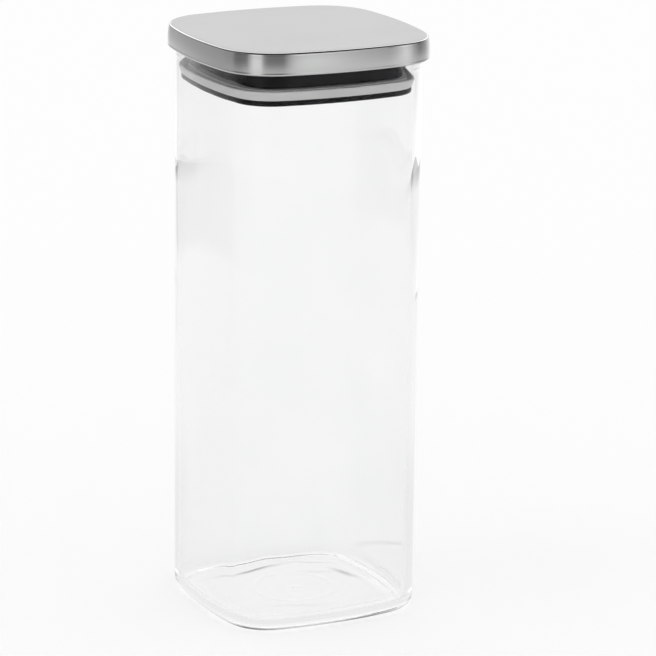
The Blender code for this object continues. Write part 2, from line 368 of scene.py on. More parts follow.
def handled_surface():
    """Faint smears left by wiping and handling: a broad noise, spread from Low to High."""
    group, start, end = new_group(
        "handled surface",
        [("Vector", "v", None), ("Size", "f", 0.03), ("Low", "f", 0.0), ("High", "f", 1.0)],
        [("Value", "f")],
    )
    scale = add(group, "ShaderNodeMath", [
        (0, 1.0), (1, start.outputs["Size"]),
    ], operation="DIVIDE")
    broad = add(group, "ShaderNodeTexNoise", [
        ("Vector", start.outputs["Vector"]),
        ("Scale", scale.outputs[0]),
        ("Detail", 2.0),
    ])
    spread = add(group, "ShaderNodeMapRange", [
        ("Value", broad.outputs["Fac"]),
        ("From Min", 0.3),
        ("From Max", 0.7),
        ("To Min", start.outputs["Low"]),
        ("To Max", start.outputs["High"]),
    ])
    group.links.new(spread.outputs["Result"], end.inputs["Value"])
    return group


def moulded_skin():
    """The surface left by a mould: a very fine even noise as a height."""
    group, start, end = new_group(
        "moulded skin",
        [("Vector", "v", None), ("Pitch", "f", 0.0005)],
        [("Height", "f")],
    )
    scale = add(group, "ShaderNodeMath", [
        (0, 1.0), (1, start.outputs["Pitch"]),
    ], operation="DIVIDE")
    noise = add(group, "ShaderNodeTexNoise", [
        ("Vector", start.outputs["Vector"]), ("Scale", scale.outputs[0]), ("Detail", 2.0),
    ])
    group.links.new(noise.outputs["Fac"], end.inputs["Height"])
    return group


# Glossy bounces past which a ray counts as trapped in the glass, and past which it counts
# as mirrored at all
TRAPPED_DEPTH = 2.5
MIRRORED_DEPTH = 0.5

GRAIN = brushed_grain()
HANDLED = handled_surface()
MOULDED = moulded_skin()


def finish(name, metallic=0.0, roughness=0.5, **values):
    """A material with one Principled shader. Values name its sockets."""
    made = bpy.data.materials.new(name)
    made.use_nodes = True
    tree = made.node_tree
    shader = tree.nodes["Principled BSDF"]
    shader.inputs["Metallic"].default_value = metallic
    shader.inputs["Roughness"].default_value = roughness
    for key, value in values.items():
        shader.inputs[key.replace("_", " ")].default_value = value
    place = tree.nodes.new("ShaderNodeTexCoord").outputs["Object"]
    return made, tree, shader, place


def use_group(tree, group, **links):
    node = tree.nodes.new("ShaderNodeGroup")
    node.node_tree = group
    for key, value in links.items():
        if isinstance(value, bpy.types.NodeSocket):
            tree.links.new(value, node.inputs[key])
        else:
            node.inputs[key].default_value = value
    return node


def mixed(tree, factor, first, second):
    """A colour between two others by a factor. Each is a node's output, or four numbers."""
    mix = add(tree, "ShaderNodeMix", [
        ("Factor", factor), ("A", first), ("B", second),
    ], data_type="RGBA")
    return mix.outputs["Result"]


def two_tones(tree, factor, first, second):
    """A colour between two tones by a factor."""
    return mixed(tree, factor, (*first, 1.0), (*second, 1.0))


def grey(tone):
    return tone, tone, tone, 1.0


def bump(tree, shader, height, strength, distance):
    node = tree.nodes.new("ShaderNodeBump")
    node.inputs["Strength"].default_value = strength
    node.inputs["Distance"].default_value = distance
    tree.links.new(height, node.inputs["Height"])
    tree.links.new(node.outputs["Normal"], shader.inputs["Normal"])


# ---------------------------------------------------------------- finishes


def clear_glass():
    """Clear soda glass with slow ripples, and painted shade where the foot attribute says so.

    Shadow rays pass straight through, and so do rays that keep being mirrored inside.
    """
    made, tree, shader, place = finish(
        "clear glass", Transmission_Weight=1.0, IOR=1.5, roughness=0.0
    )
    shader.inputs["Specular Tint"].default_value = grey(0.15)
    haze = use_group(tree, HANDLED, Vector=place, Size=0.04)
    tint = two_tones(tree, haze.outputs[0], (0.955, 0.961, 0.959), (0.969, 0.972, 0.971))
    # The foot attribute is painted shade: where it is set, the outside of the glass turns
    # near black
    foot = add(tree, "ShaderNodeAttribute", attribute_name="foot")
    side = tree.nodes.new("ShaderNodeNewGeometry")
    outside = add(tree, "ShaderNodeMath", [
        (0, 1.0), (1, side.outputs["Backfacing"]),
    ], operation="SUBTRACT")
    seen = add(tree, "ShaderNodeMath", [
        (0, foot.outputs["Fac"]), (1, outside.outputs[0]),
    ], operation="MULTIPLY")
    tint_with_painted_shade = mixed(tree, seen.outputs[0], tint, (0.004, 0.0045, 0.0045, 1.0))
    tree.links.new(tint_with_painted_shade, shader.inputs["Base Color"])
    squeezed = add(tree, "ShaderNodeVectorMath", [
        (0, place), (1, (WAVES_AROUND, WAVES_AROUND, WAVES_UP)),
    ], operation="MULTIPLY")
    wave = add(tree, "ShaderNodeTexNoise", [
        ("Vector", squeezed.outputs[0]), ("Scale", 1.0), ("Detail", 0.0),
    ])
    bump(tree, shader, wave.outputs["Fac"], strength=1.0, distance=WAVE_DEPTH)
    clear = tree.nodes.new("ShaderNodeBsdfTransparent")
    clear.inputs["Color"].default_value = grey(0.98)
    path = tree.nodes.new("ShaderNodeLightPath")
    trapped = add(tree, "ShaderNodeMath", [
        (0, path.outputs["Glossy Depth"]), (1, TRAPPED_DEPTH),
    ], operation="GREATER_THAN")
    through = add(tree, "ShaderNodeMath", [
        (0, path.outputs["Is Shadow Ray"]), (1, trapped.outputs[0]),
    ], operation="MAXIMUM")
    mix = tree.nodes.new("ShaderNodeMixShader")
    tree.links.new(through.outputs[0], mix.inputs["Fac"])
    tree.links.new(shader.outputs["BSDF"], mix.inputs[1])
    tree.links.new(clear.outputs["BSDF"], mix.inputs[2])
    output = tree.nodes["Material Output"]
    tree.links.new(mix.outputs["Shader"], output.inputs["Surface"])
    return made


def brushed_steel():
    """Satin steel. U of the grain map lies across the scratches, so it is the rough way."""
    made, tree, shader, place = finish(
        "brushed steel", metallic=1.0, roughness=0.28, Anisotropic=0.75
    )
    grain_map = tree.nodes.new("ShaderNodeUVMap")
    grain_map.uv_map = "grain"
    grain = use_group(tree, GRAIN, Vector=grain_map.outputs["UV"])
    tone = two_tones(
        tree, grain.outputs["Grain"], (0.50, 0.51, 0.50), (0.57, 0.58, 0.57)
    )
    tree.links.new(tone, shader.inputs["Base Color"])
    dull = use_group(tree, HANDLED, Vector=place, Size=0.05, Low=0.21, High=0.24)
    buffed = add(tree, "ShaderNodeAttribute", attribute_name="buffed")
    gloss = add(tree, "ShaderNodeMix", [
        (0, buffed.outputs["Fac"]), (2, dull.outputs[0]), (3, 0.07),
    ])
    tree.links.new(gloss.outputs[0], shader.inputs["Roughness"])
    bump(tree, shader, grain.outputs["Grain"], strength=0.06, distance=0.00004)
    tangent = tree.nodes.new("ShaderNodeTangent")
    tangent.direction_type = "UV_MAP"
    tangent.uv_map = "grain"
    tree.links.new(tangent.outputs["Tangent"], shader.inputs["Tangent"])
    return made


def moulding(name, dark, light, low, high, pitch, strength, specular=0.5):
    """A moulded part: a tone from dark to light and a roughness from low to high, in
    smears, over a mould texture of the given pitch and strength.
    """
    made, tree, shader, place = finish(name, Specular_IOR_Level=specular)
    haze = use_group(tree, HANDLED, Vector=place, Size=0.025)
    tree.links.new(two_tones(tree, haze.outputs[0], dark, light), shader.inputs["Base Color"])
    dull = use_group(tree, HANDLED, Vector=place, Size=0.012, Low=low, High=high)
    tree.links.new(dull.outputs[0], shader.inputs["Roughness"])
    texture = use_group(tree, MOULDED, Vector=place, Pitch=pitch)
    bump(tree, shader, texture.outputs[0], strength, distance=0.00002)
    return made


def plated_screw():
    made, tree, shader, place = finish("zinc plate", metallic=1.0, roughness=0.35)
    haze = use_group(tree, HANDLED, Vector=place, Size=0.002)
    tone = two_tones(tree, haze.outputs[0], (0.50, 0.51, 0.54), (0.62, 0.62, 0.62))
    tree.links.new(tone, shader.inputs["Base Color"])
    return made


# ---------------------------------------------------------------- pieces


def jar():
    """The jar: an even outside, and an inside whose wall thickness drifts slowly.

    The drift is a sum of slow sines in the turn and the height. It fades out at the rim
    and in the heel. The floor rises to a shallow punt with a small gather mark.
    """
    mid_rim = RIM - WALL / 2
    outside = section(
        arc(HEEL_RADIUS, HEEL_RADIUS, HEEL_RADIUS, -90, 0, 16),
        straight((0, HEEL_RADIUS), (0, mid_rim), 50),
        arc(WALL / 2, mid_rim, WALL / 2, 0, 90, 8),
    )
    floor_inset = WALL + INNER_HEEL_RADIUS
    floor_level = FLOOR + INNER_HEEL_RADIUS
    inside = section(
        arc(WALL / 2, mid_rim, WALL / 2, 90, 180, 8)[1:],
        straight((WALL, mid_rim), (WALL, floor_level), 50),
        arc(floor_inset, floor_level, INNER_HEEL_RADIUS, 0, -90, 16),
    )
    height = np.concatenate([inside[:, 1:], np.full((SLOPE_ROWS - 1, 1), FLOOR)])
    turn = turns()[None, :] * math.pi / 2
    below_rim = smooth_step((RIM - DRIFT_TOP_GAP - height) / DRIFT_TOP_FADE)
    above_heel = smooth_step((height - DRIFT_LOW_GAP) / DRIFT_LOW_FADE)
    drift = sum(
        share * np.sin(around * turn + up * height + start)
        for share, around, up, start in DRIFT_WAVES
    )
    change = DRIFT_DEPTH * (below_rim * above_heel) * drift
    punt_end = PUNT_INSET + PUNT_WIDTH
    foot = HEEL_RADIUS + FOOT_WIDTH
    slope = np.linspace(0, 1, SLOPE_ROWS)[:, None]
    rise = PUNT_RISE * smooth_step(slope)
    arch = PUNT_RISE * np.cos(slope * math.pi / 2)
    under_slope = np.hstack([punt_end + (foot - punt_end) * slope, arch])
    over_slope = np.hstack([floor_inset + (punt_end - floor_inset) * slope, FLOOR + rise])
    rows = np.concatenate([
        filled(punt_end, PUNT_RISE, 12)[::-1],
        carried(section(under_slope, outside)),
        carried(section(inside, over_slope[1:]), inset_change=change),
        filled(punt_end, over_floor, 60),
    ])
    last = (0, 0, float(over_floor(np.zeros(1))[0]))
    mesh = skin("blown_jar", rows, (0, 0, PUNT_RISE), last)
    # The foot attribute holds painted shade: a dark line round the heel and dark streaks in
    # the floor
    layer = mesh.attributes.new("foot", "FLOAT", "POINT")
    layer.data.foreach_set("value", painted_glass_shade(mesh))
    put("blown_jar", mesh, "jar", ["glass_jar"], clear_glass())


def painted_glass_shade(mesh):
    """Painted shade in the glass, 0 to 1: a dark line on the outer side of the heel's low
    edge.

    Along the edge it swells and thins as a cosine of the bearing. On the floor inside,
    each painted dark streak is a bell curve across its band times a bell curve along it.
    """
    points = points_of(mesh)
    normals = np.empty(len(points) * 3)
    mesh.vertex_normals.foreach_get("vector", normals)
    normals = normals.reshape(-1, 3)
    facing_out = (normals[:, :2] * points[:, :2]).sum(1) / HALF_SIDE
    outwards = smooth_step(facing_out * OUTWARD_GAIN)
    low = smooth_step((FOOT_LINE - points[:, 2]) / FOOT_LINE_FADE)
    bearing = np.degrees(np.arctan2(points[:, 1], points[:, 0]))
    swell = np.cos(np.radians((bearing - FOOT_LOBE_BEARING) * 360 / FOOT_LOBE_SPACING))
    shade = low * outwards * (FOOT_LINE_SHADE + FOOT_LOBE_SHADE * swell)
    x, y = points[:, 0], points[:, 1]
    floor = (normals[:, 2] > UPWARD) * (points[:, 2] < FLOOR + INNER_HEEL_RADIUS)
    for facing, distance, place, length, width, strength in PAINTED_STREAKS:
        cosine, sine = math.cos(math.radians(facing)), math.sin(math.radians(facing))
        across = (x * cosine + y * sine - distance) / width
        along = (y * cosine - x * sine - place) / length
        bell = np.exp(-(across**2) - along**2)
        shade = np.maximum(shade, strength * floor * bell)
    return shade


def over_floor(radius):
    """Height of the inside of the floor: flat, with a faint ring and a gather mark."""
    mark = MARK_HEIGHT * np.exp(-((radius / MARK_WIDTH) ** 2))
    ring = RING_HEIGHT * np.exp(-(((radius - RING_RADIUS) / RING_WIDTH) ** 2))
    return FLOOR + PUNT_RISE + mark + ring


def cap():
    """Drawn sheet: flat top, edge bend, a skirt that crowns out slightly, and a hem."""
    top_inset = CAP_INSET + CAP_DRAFT
    edge_height = CAP_HIGH.z - CAP_EDGE_RADIUS
    hem_height = CAP_LOW.z + HEM_RADIUS
    hem_inset = CAP_INSET + HEM_RADIUS
    skirt = straight((top_inset, edge_height), (CAP_INSET, hem_height), 24)
    share = (skirt[:, 1] - hem_height) / (edge_height - hem_height)
    crown = (share - CROWN_PLACE) / (1 - CROWN_PLACE)
    skirt[:, 0] = CAP_INSET + (top_inset - CAP_INSET) * crown**2
    outside = section(
        arc(top_inset + CAP_EDGE_RADIUS, edge_height, CAP_EDGE_RADIUS, 90, 0, 14),
        skirt,
        arc(hem_inset, hem_height, HEM_RADIUS, 0, -90, 10),
    )
    hem_end = CAP_INSET + HEM_WIDTH
    inside = section(
        (hem_end, CAP_LOW.z),
        (hem_end, CAP_LOW.z + SHEET),
        arc(hem_inset, hem_height, HEM_RADIUS - SHEET, -90, 0, 8),
        arc(top_inset + CAP_EDGE_RADIUS, edge_height, CAP_EDGE_RADIUS - SHEET, 0, 90, 8),
    )
    top = filled(top_inset + CAP_EDGE_RADIUS, CAP_HIGH.z, 20)[::-1]
    ceiling = filled(top_inset + CAP_EDGE_RADIUS, CAP_HIGH.z - SHEET, 6)
    rows = np.concatenate([top, carried(section(outside, inside)), ceiling])
    mesh = skin("steel_cap", rows, (0, 0, CAP_HIGH.z), (0, 0, CAP_HIGH.z - SHEET))
    grain_map(mesh)
    buffed_edges(mesh)
    put("steel_cap", mesh, "lid", ["lid_cap"], brushed_steel())


def points_of(mesh):
    co = np.empty(len(mesh.vertices) * 3)
    mesh.vertices.foreach_get("co", co)
    return co.reshape(-1, 3)


def buffed_edges(mesh):
    """An attribute that is 1 on the edge bend and the hem, which are buffed, else 0."""
    height = points_of(mesh)[:, 2]
    bend_start = CAP_HIGH.z - CAP_EDGE_RADIUS - BUFFED_MARGIN
    bend = smooth_step((height - bend_start) / BUFFED_FADE)
    flat = smooth_step((height - (CAP_HIGH.z - FLAT_MARGIN)) / FLAT_MARGIN)
    hem = smooth_step((CAP_LOW.z + HEM_RADIUS - height) / BUFFED_FADE)
    layer = mesh.attributes.new("buffed", "FLOAT", "POINT")
    layer.data.foreach_set("value", np.maximum(bend * (1 - flat), hem))


def grain_map(mesh):
    """A map in metres whose V runs along the scratches.

    On the flat top that is along x. On the skirt it is the way round, with U the height,
    or the distance from the middle where the sheet turns under.
    """
    co = points_of(mesh)
    loops = np.empty(len(mesh.loops), int)
    mesh.loops.foreach_get("vertex_index", loops)
    starts = np.empty(len(mesh.polygons), int)
    mesh.polygons.foreach_get("loop_start", starts)
    totals = np.empty(len(mesh.polygons), int)
    mesh.polygons.foreach_get("loop_total", totals)
    level = np.array([polygon.normal.z > TOP_FACING for polygon in mesh.polygons])
    flat = np.repeat(level, totals)
    point = co[loops]
    x, y = outline(CAP_INSET, turns())
    around = np.concatenate([[0], np.cumsum(np.hypot(np.diff(x), np.diff(y)))])
    column = loops % AROUND
    # The column after the last is the first again, one lap further on
    face = np.repeat(np.arange(len(totals)), totals)
    last = np.zeros(len(totals), bool)
    np.logical_or.at(last, face, column == AROUND - 1)
    lap = np.hypot(x[0] - x[-1], y[0] - y[-1]) + around[-1]
    along = around[column] + np.where((column == 0) & last[face], lap, 0.0)
    across = point[:, 2] - np.hypot(point[:, 0], point[:, 1]) * GRAIN_TUCK
    uv = np.where(flat[:, None], point[:, 1::-1], np.stack([across, along], 1))
    layer = mesh.uv_layers.new(name="grain")
    layer.data.foreach_set("uv", uv.ravel())


def core():
    """Black moulding: tray, flange, and a hollow neck stepped in to a spigot."""
    black = moulding(
        "black moulding", (0.004, 0.004, 0.0045), (0.007, 0.007, 0.008),
        0.12, 0.20, 0.0008, 0.10, specular=0.05,
    )
    flange_low = RIM + SEAT_GAP
    flange_high = flange_low + FLANGE
    shoulder = SEAL_HIGH.z + SEAT_GAP
    neck_inner = NECK_INSET + NECK_WALL
    spigot_inner = SPIGOT_INSET + NECK_WALL
    edge = CORE_EDGE
    points = section(
        (TRAY_INSET + TRAY_WALL, flange_high),
        (TRAY_INSET + TRAY_WALL, CORE_HIGH.z),
        (TRAY_INSET, CORE_HIGH.z),
        arc(TRAY_INSET + edge, flange_low + edge, edge, 0, -90, 4),
        arc(NECK_INSET - edge, flange_low - edge, -edge, -90, 0, 4),
        straight((NECK_INSET, flange_low - edge), (NECK_INSET, shoulder + edge), 6),
        arc(NECK_INSET + edge, shoulder + edge, edge, 0, -90, 5),
        (SPIGOT_INSET, shoulder),
        (SPIGOT_INSET, PLATE_TOP + SEAT_GAP),
        (spigot_inner, PLATE_TOP + SEAT_GAP),
        (spigot_inner, shoulder + SHOULDER),
        (neck_inner, shoulder + SHOULDER),
        (neck_inner, flange_low),
    )
    over = filled(TRAY_INSET + TRAY_WALL, flange_high, 3)[::-1]
    under = filled(neck_inner, flange_low, 3)
    rows = np.concatenate([over, carried(points), under])
    mesh = skin("neck_moulding", rows, (0, 0, flange_high), (0, 0, flange_low))
    mesh.set_sharp_from_angle(angle=math.radians(MOULDING_SHARP))
    put("neck_moulding", mesh, "lid", ["lid_core"], black)
    return black


def seal():
    """Silicone ring: rounded top lip leaning in to its foot, with a groove behind it."""
    lean = math.degrees(math.atan2(SEAL_TAPER, SEAL_HIGH.z - SEAL_LOW.z))
    foot = SEAL_INSET + SEAL_TAPER
    groove_out = SEAL_INSET + SEAL_LIP
    groove_in = groove_out + SEAL_GROOVE_WIDTH
    groove_low = SEAL_HIGH.z - SEAL_GROOVE_DEPTH
    bore = SPIGOT_INSET - SEAT_GAP
    edge = SEAL_EDGE
    points = section(
        arc(SEAL_INSET + edge, SEAL_HIGH.z - edge, edge, 90, -lean, 8),
        straight((SEAL_INSET, SEAL_HIGH.z - edge), (foot, SEAL_LOW.z + edge), 8),
        arc(foot + edge, SEAL_LOW.z + edge, edge, -lean, -90, 8),
        (bore, SEAL_LOW.z),
        (bore, SEAL_HIGH.z),
        (groove_in, SEAL_HIGH.z),
        (groove_in, groove_low),
        (groove_out + edge, groove_low),
        (groove_out, SEAL_HIGH.z - edge / 2),
        (groove_out - edge / 2, SEAL_HIGH.z),
    )
    mesh = skin("silicone_ring", carried(points))
    mesh.set_sharp_from_angle(angle=math.radians(SEAL_SHARP))
    silicone = moulding(
        "grey silicone", (0.58, 0.58, 0.575), (0.64, 0.64, 0.635),
        0.42, 0.55, 0.0004, 0.12, specular=0.4,
    )
    put("silicone_ring", mesh, "lid", ["seal_ring"], silicone)


def smooth_copy(name, node, finish_material):
    """A CAD node's mesh with its doubles merged and its bends smooth, as a new piece."""
    mesh = NODES[node].data.copy()
    mesh.name = name
    builder = bmesh.new()
    builder.from_mesh(mesh)
    bmesh.ops.remove_doubles(builder, verts=builder.verts, dist=DOUBLES)
    builder.to_mesh(mesh)
    builder.free()
    mesh.materials.clear()
    mesh.shade_smooth()
    mesh.set_sharp_from_angle(angle=math.radians(PLATE_SHARP))
    put(name, mesh, "lid", [node], finish_material)


def plugs():
    soft = moulding(
        "black silicone", (0.016, 0.016, 0.016), (0.028, 0.028, 0.028),
        0.5, 0.65, 0.0005, 0.15,
    )
    radius = (PLUG_HIGH.x - PLUG_LOW.x) / 2
    edge = PLUG_EDGE
    for number in range(1, 5):
        name = f"well_plug_{number}"
        low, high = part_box(f"screw_plug_{number}")
        at = ((low.x + high.x) / 2, (low.y + high.y) / 2)
        angle = np.radians(np.linspace(-90, 0, 7))
        rounded = np.stack([
            radius - edge + edge * np.cos(angle),
            low.z + edge + edge * np.sin(angle),
        ], 1)
        dish = [(radius * share, low.z + rise) for share, rise in PLUG_DISH]
        points = section(dish, rounded, (radius, high.z))
        rows = spun(points, at, PLUG_AROUND)
        mesh = skin(name, rows, (*at, low.z + PLUG_DIMPLE), (*at, high.z))
        mesh.set_sharp_from_angle(angle=math.radians(MOULDING_SHARP))
        put(name, mesh, "lid", [f"screw_plug_{number}"], soft)


def finish_hidden_nodes():
    """Gives the nodes that stay as packed their finishes."""
    zinc = plated_screw()
    foam = moulding(
        "adhesive foam", (0.62, 0.61, 0.57), (0.74, 0.73, 0.69), 0.8, 0.95, 0.0006, 0.4
    )
    for name, node in NODES.items():
        if name.startswith("retainer_screw"):
            node.data.materials.clear()
            node.data.materials.append(zinc)
    NODES["adhesive_pad"].data.materials.clear()
    NODES["adhesive_pad"].data.materials.append(foam)


# ---------------------------------------------------------------- studio


# The floor that is seen: its tone and its own light, away from the jar and under it
FLOOR_REACH = 6.0
FLOOR_TONE = 0.45
FLOOR_GLOW = 0.535
# Painted light under the jar: it glows more and takes less lamp light, so the jar's shade
# barely shows there
UNDER_PAINTED_TONE = 0.10
UNDER_PAINTED_GLOW = 0.90
UNDER_SPAN = 0.0490
UNDER_FADE = 0.0015

# The floor in reflections: a sheet of paper, then its edge, then the room. Each list of
# tones is by bearing from +X in degrees, and distances are from the middle.
FOOT_TONE = 0.86
FOOT_END = 0.15
FOOT_FADE = 0.22
PAPER_TONES = [
    (-180, 0.66), (-150, 0.88), (-40, 0.88), (-20, 0.88), (20, 0.95), (110, 0.95),
    (150, 0.74), (180, 0.66),
]
PAPER_END = 0.68
PAPER_FADE = 0.05
EDGE_TONES = [
    (-180, 0.60), (-160, 0.85), (-148, 1.0), (-132, 1.0), (-115, 0.85), (-92, 0.85),
    (-80, 0.90), (-54, 0.90), (-45, 1.0), (-15, 0.85), (15, 0.88), (40, 0.95), (92, 0.95),
    (106, 0.75), (135, 0.50), (160, 0.58), (180, 0.60),
]
EDGE_END = 0.87
EDGE_FADE = 0.07
ROOM_TONES = [
    (-180, 0.12), (-162, 0.14), (-155, 0.60), (-148, 1.05), (-134, 1.05), (-128, 0.30),
    (-120, 0.12), (-92, 0.10), (-86, 0.40), (-81, 1.02), (-54, 0.56), (-51, 0.28),
    (-48, 0.98), (-43, 1.05), (-36, 0.8), (-25, 0.45), (-10, 0.22), (8, 0.34),
    (17, 0.50), (30, 0.76), (42, 0.80), (84, 0.80), (98, 0.48), (133, 0.42),
    (165, 0.36), (172, 0.16), (180, 0.12),
]
DIM_ROOM = 0.80

# The round wall in reflections
ROOM_STRENGTH = 1.2
WALL_RADIUS = 0.95
WALL_STEPS = 96
WALL_HEIGHT = 0.55
WALL_FADE = 0.32
WALL_FOOT = 0.17
WALL_FOOT_TONE = 0.90

# The ceiling in reflections: tones by the cosine from a leaning direction, and a paler
# low band on the near side, just above the wall
CEILING_BEARING = 64.5
CEILING_LIFT = 45.0
CEILING_TONES = [
    (-1.0, 0.03), (0.61, 0.03), (0.69, 0.98), (0.77, 3.40), (0.83, 0.97), (0.94, 0.95),
    (1.0, 1.02),
]
LOW_SKY_TONE = 0.45
LOW_SKY_END = 0.36
LOW_SKY_FADE = 0.14
NEAR_FADE = 0.35

# Tone of the even light by the height of its direction, and the lamp
SKY_TONES = [(-1.0, 0.97), (-0.01, 0.97), (0.0, 1.72), (0.5, 1.18), (1.0, 0.54)]
KEY_WIDTH = 22.0
KEY_BEARING = 175.0
KEY_LIFT = 62.0
KEY_POWER = 0.18

# Camera: angles in degrees, distances in metres, lens and sensor in millimetres
CAMERA_BEARING = -25.466
CAMERA_TURN = -26.020
CAMERA_DOWN = 15.58
CAMERA_ROLL = 0.699
CAMERA_AWAY = 1.5897
CAMERA_HEIGHT = 0.5739
CAMERA_REACH = 50.0
CAMERA_LENS = 194.07
CAMERA_SENSOR = 36.0


def aimed(bearing, lift):
    """The direction at a bearing from +X and a lift above the floor, in degrees."""
    bearing, lift = math.radians(bearing), math.radians(lift)
    return Vector((
        math.cos(bearing) * math.cos(lift),
        math.sin(bearing) * math.cos(lift),
        math.sin(lift),
    ))


def reflected(tree):
    """1 for light that a surface mirrors straight to the eye, 0 for all other light."""
    path = tree.nodes.new("ShaderNodeLightPath")
    scattered = add(tree, "ShaderNodeMath", [
        (0, path.outputs["Diffuse Depth"]), (1, MIRRORED_DEPTH),
    ], operation="LESS_THAN")
    mirrored = add(tree, "ShaderNodeMath", [
        (0, path.outputs["Glossy Depth"]), (1, MIRRORED_DEPTH),
    ], operation="GREATER_THAN")
    both = add(tree, "ShaderNodeMath", [
        (0, mirrored.outputs[0]), (1, scattered.outputs[0]),
    ], operation="MULTIPLY")
    return both.outputs[0]


def ramp(tree, factor, stops, low=0.0, high=1.0):
    """Grey tones along a factor. Stops are (factor, tone) between low and high."""
    share = add(tree, "ShaderNodeMapRange", [
        ("Value", factor), ("From Min", low), ("From Max", high),
    ])
    band = add(tree, "ShaderNodeValToRGB", [("Fac", share.outputs["Result"])])
    band.color_ramp.interpolation = "EASE"
    marks = band.color_ramp.elements
    marks.remove(marks[0])
    for index, (place, tone) in enumerate(stops):
        position = (place - low) / (high - low)
        mark = marks[0] if index == 0 else marks.new(position)
        mark.position = position
        mark.color = grey(tone)
    return band.outputs["Color"]


def room_around():
    """Tones at each bearing: of the paper, and of the room with its windows and gaps."""
    group, start, end = new_group(
        "room around", [("Vector", "v", None)], [("Paper", "c"), ("Edge", "c"), ("Room", "c")]
    )
    split = add(group, "ShaderNodeSeparateXYZ", [(0, start.outputs["Vector"])])
    bearing = add(group, "ShaderNodeMath", [
        (0, split.outputs["Y"]), (1, split.outputs["X"]),
    ], operation="ARCTAN2")
    degrees = add(group, "ShaderNodeMath", [(0, bearing.outputs[0])], operation="DEGREES")
    for name, stops in (("Paper", PAPER_TONES), ("Edge", EDGE_TONES), ("Room", ROOM_TONES)):
        tone = ramp(group, degrees.outputs[0], stops, -180.0, 180.0)
        group.links.new(tone, end.inputs[name])
    return group


def blended(tree, place, start, width, inner, outer):
    """One tone near the middle of the floor and another outside, with a soft edge."""
    distance = add(tree, "ShaderNodeVectorMath", [(0, place)], operation="LENGTH")
    edge = add(tree, "ShaderNodeMapRange", [
        ("Value", distance.outputs["Value"]),
        ("From Min", start),
        ("From Max", start + width),
    ], interpolation_type="SMOOTHSTEP")
    return mixed(tree, edge.outputs["Result"], inner, outer)


def under_jar(tree, place):
    """1 on the floor beneath the jar, where its light is painted, 0 beyond it. The fourth
    powers of x and y add up.
    """
    square = add(tree, "ShaderNodeVectorMath", [(0, place), (1, place)], operation="MULTIPLY")
    fourth = add(tree, "ShaderNodeVectorMath", [
        (0, square.outputs[0]), (1, square.outputs[0]),
    ], operation="DOT_PRODUCT")
    reach = add(tree, "ShaderNodeMath", [
        (0, fourth.outputs["Value"]), (1, 0.25),
    ], operation="POWER")
    inside = add(tree, "ShaderNodeMapRange", [
        ("Value", reach.outputs[0]),
        ("From Min", UNDER_SPAN + UNDER_FADE),
        ("From Max", UNDER_SPAN - UNDER_FADE),
    ], interpolation_type="SMOOTHSTEP")
    return inside.outputs["Result"]


def studio_floor(room):
    """A wide pale floor. In reflections it is a sheet of paper that ends in the room."""
    made = bpy.data.materials.new("pale floor")
    made.use_nodes = True
    tree = made.node_tree
    shader = tree.nodes["Principled BSDF"]
    shader.inputs["Roughness"].default_value = 1.0
    shader.inputs["Specular IOR Level"].default_value = 0.0
    shader.inputs["Emission Color"].default_value = grey(1.0)
    place = tree.nodes.new("ShaderNodeTexCoord").outputs["Object"]
    under = under_jar(tree, place)
    # Painted light under the jar: the mask swaps in more glow and less lamp light
    tone = add(tree, "ShaderNodeMapRange", [
        ("Value", under), ("To Min", FLOOR_TONE), ("To Max", UNDER_PAINTED_TONE),
    ])
    tree.links.new(tone.outputs["Result"], shader.inputs["Base Color"])
    strength = add(tree, "ShaderNodeMapRange", [
        ("Value", under), ("To Min", FLOOR_GLOW), ("To Max", UNDER_PAINTED_GLOW),
    ])
    tree.links.new(strength.outputs["Result"], shader.inputs["Emission Strength"])
    around = use_group(tree, room, Vector=place)
    foot = grey(FOOT_TONE)
    paper = blended(tree, place, FOOT_END, FOOT_FADE, foot, around.outputs["Paper"])
    edge = blended(tree, place, PAPER_END, PAPER_FADE, paper, around.outputs["Edge"])
    dim = add(tree, "ShaderNodeVectorMath", [
        (0, around.outputs["Room"]), ("Scale", DIM_ROOM),
    ], operation="SCALE")
    seen = blended(tree, place, EDGE_END, EDGE_FADE, edge, dim.outputs[0])
    glow = add(tree, "ShaderNodeEmission", [("Color", seen)])
    mix = add(tree, "ShaderNodeMixShader", [
        ("Fac", reflected(tree)),
        (1, shader.outputs["BSDF"]),
        (2, glow.outputs["Emission"]),
    ])
    output = tree.nodes["Material Output"]
    tree.links.new(mix.outputs["Shader"], output.inputs["Surface"])
    mesh = bpy.data.meshes.new("floor")
    size = FLOOR_REACH
    corners = [(-size, -size, 0), (size, -size, 0), (size, size, 0), (-size, size, 0)]
    mesh.from_pydata(corners, [], [(0, 1, 2, 3)])
    mesh.materials.append(made)
    floor = stand("floor", mesh)


